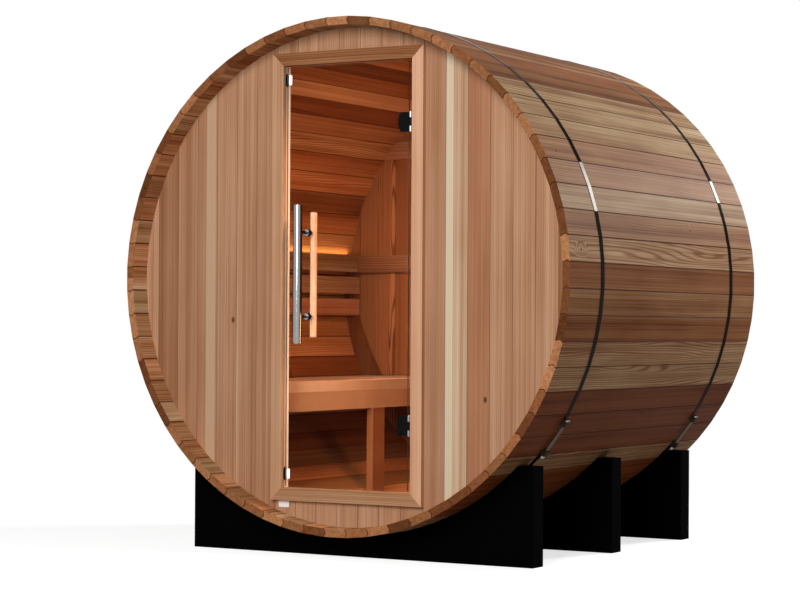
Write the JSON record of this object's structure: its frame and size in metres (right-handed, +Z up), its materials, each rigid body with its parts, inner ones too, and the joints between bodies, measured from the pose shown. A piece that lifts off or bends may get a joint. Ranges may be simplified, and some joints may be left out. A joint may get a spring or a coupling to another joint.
{
  "type": "barrel sauna",
  "caption": "Round cedar sauna room on black cradles, with steel hoops, a glass door that swings out, and a bench with a slatted backrest inside.",
  "frame": {"origin": "on the ground under the middle of the barrel", "axes": "+Z up, the door end faces -Y, +X to the right seen from the door end"},
  "size_m": [1.8308, 1.63, 1.9104],
  "materials": {
    "cedar_staves": "bare planed cedar",
    "cedar_walls": "bare planed cedar",
    "cedar_trim": "bare planed cedar",
    "cedar_inside": "bare planed cedar",
    "pale_wood": "smooth turned wood",
    "black_painted_wood": "black paint",
    "clear_glass": "clear toughened",
    "polished_steel": "polished",
    "hoop_steel": "dark rolled strip, polished",
    "black_hardware": "satin black",
    "white_plastic": "satin",
    "warm_light": "lit diffuser"
  },
  "bodies": {
    "barrel": {"staves_right": "cedar_staves", "staves_upper_right": "cedar_staves", "staves_top": "cedar_staves", "staves_upper_left": "cedar_staves", "staves_left": "cedar_staves", "staves_lower_left": "cedar_staves", "staves_bottom": "cedar_staves", "staves_lower_right": "cedar_staves", "front_wall_left": "cedar_walls", "front_wall_right": "cedar_walls", "front_wall_over_door": "cedar_walls", "front_wall_under_door": "cedar_walls", "rear_wall": "cedar_walls", "jamb_left": "cedar_trim", "jamb_right": "cedar_trim", "jamb_head": "cedar_trim", "door_sill": "cedar_trim", "casing_bottom": "cedar_trim", "casing_right": "cedar_trim", "casing_top": "cedar_trim", "casing_left": "cedar_trim", "jamb_hinge_leaf_upper": "polished_steel", "jamb_hinge_leaf_lower": "polished_steel", "jamb_catch_upper": "black_hardware", "jamb_catch_lower": "black_hardware", "hoop_front": "hoop_steel", "hoop_rear": "hoop_steel", "tensioner_front": "hoop_steel", "tensioner_rear": "hoop_steel", "cradle_front": "black_painted_wood", "cradle_middle": "black_painted_wood", "cradle_rear": "black_painted_wood", "bench_slats": "cedar_inside", "bench_apron": "cedar_inside", "bench_bearers": "cedar_inside", "bench_leg": "cedar_inside", "backrest_slats": "cedar_inside", "backrest_ribs": "cedar_inside", "rear_wall_rail_upper": "cedar_inside", "rear_wall_rail_middle": "cedar_inside", "light_strip": "warm_light"},
    "door": {"door_glass": "clear_glass", "door_hinge_clamp_upper": "black_hardware", "door_hinge_clamp_lower": "black_hardware", "door_pull_bar": "polished_steel", "door_handle_posts": "polished_steel", "door_inner_grip": "pale_wood", "door_strike_plates": "white_plastic"}
  },
  "joints": [
    {"name": "door_swing", "type": "hinge", "parent": "barrel", "child": "door", "pos_m": [0.2575, -0.741, 0.998], "axis": [0, 0, 1], "range_deg": [0, 110]}
  ]
}
